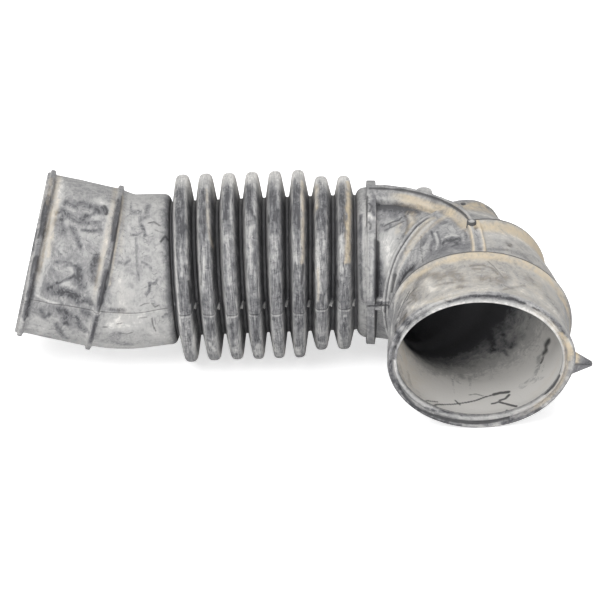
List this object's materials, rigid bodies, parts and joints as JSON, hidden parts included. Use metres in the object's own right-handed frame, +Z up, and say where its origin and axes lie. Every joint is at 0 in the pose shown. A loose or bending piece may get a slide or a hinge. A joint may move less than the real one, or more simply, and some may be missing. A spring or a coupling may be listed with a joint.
{
  "type": "washer exhaust hose",
  "caption": "Moulded rubber air duct for a washer: a round cuff, a bellows section and a ribbed ninety degree elbow that opens into an oval mouth with a pull tab.",
  "frame": {"origin": "centre of the bottom of the box around the duct, on the table it lies on", "axes": "+X runs from the cuff toward the elbow, -Y is where the mouth faces, +Z is up"},
  "size_m": [0.285, 0.1398, 0.0987],
  "materials": {
    "rubber": "matt grey rubber with a dusty, scuffed skin"
  },
  "bodies": {
    "root": {"hose": "rubber"}
  },
  "joints": []
}
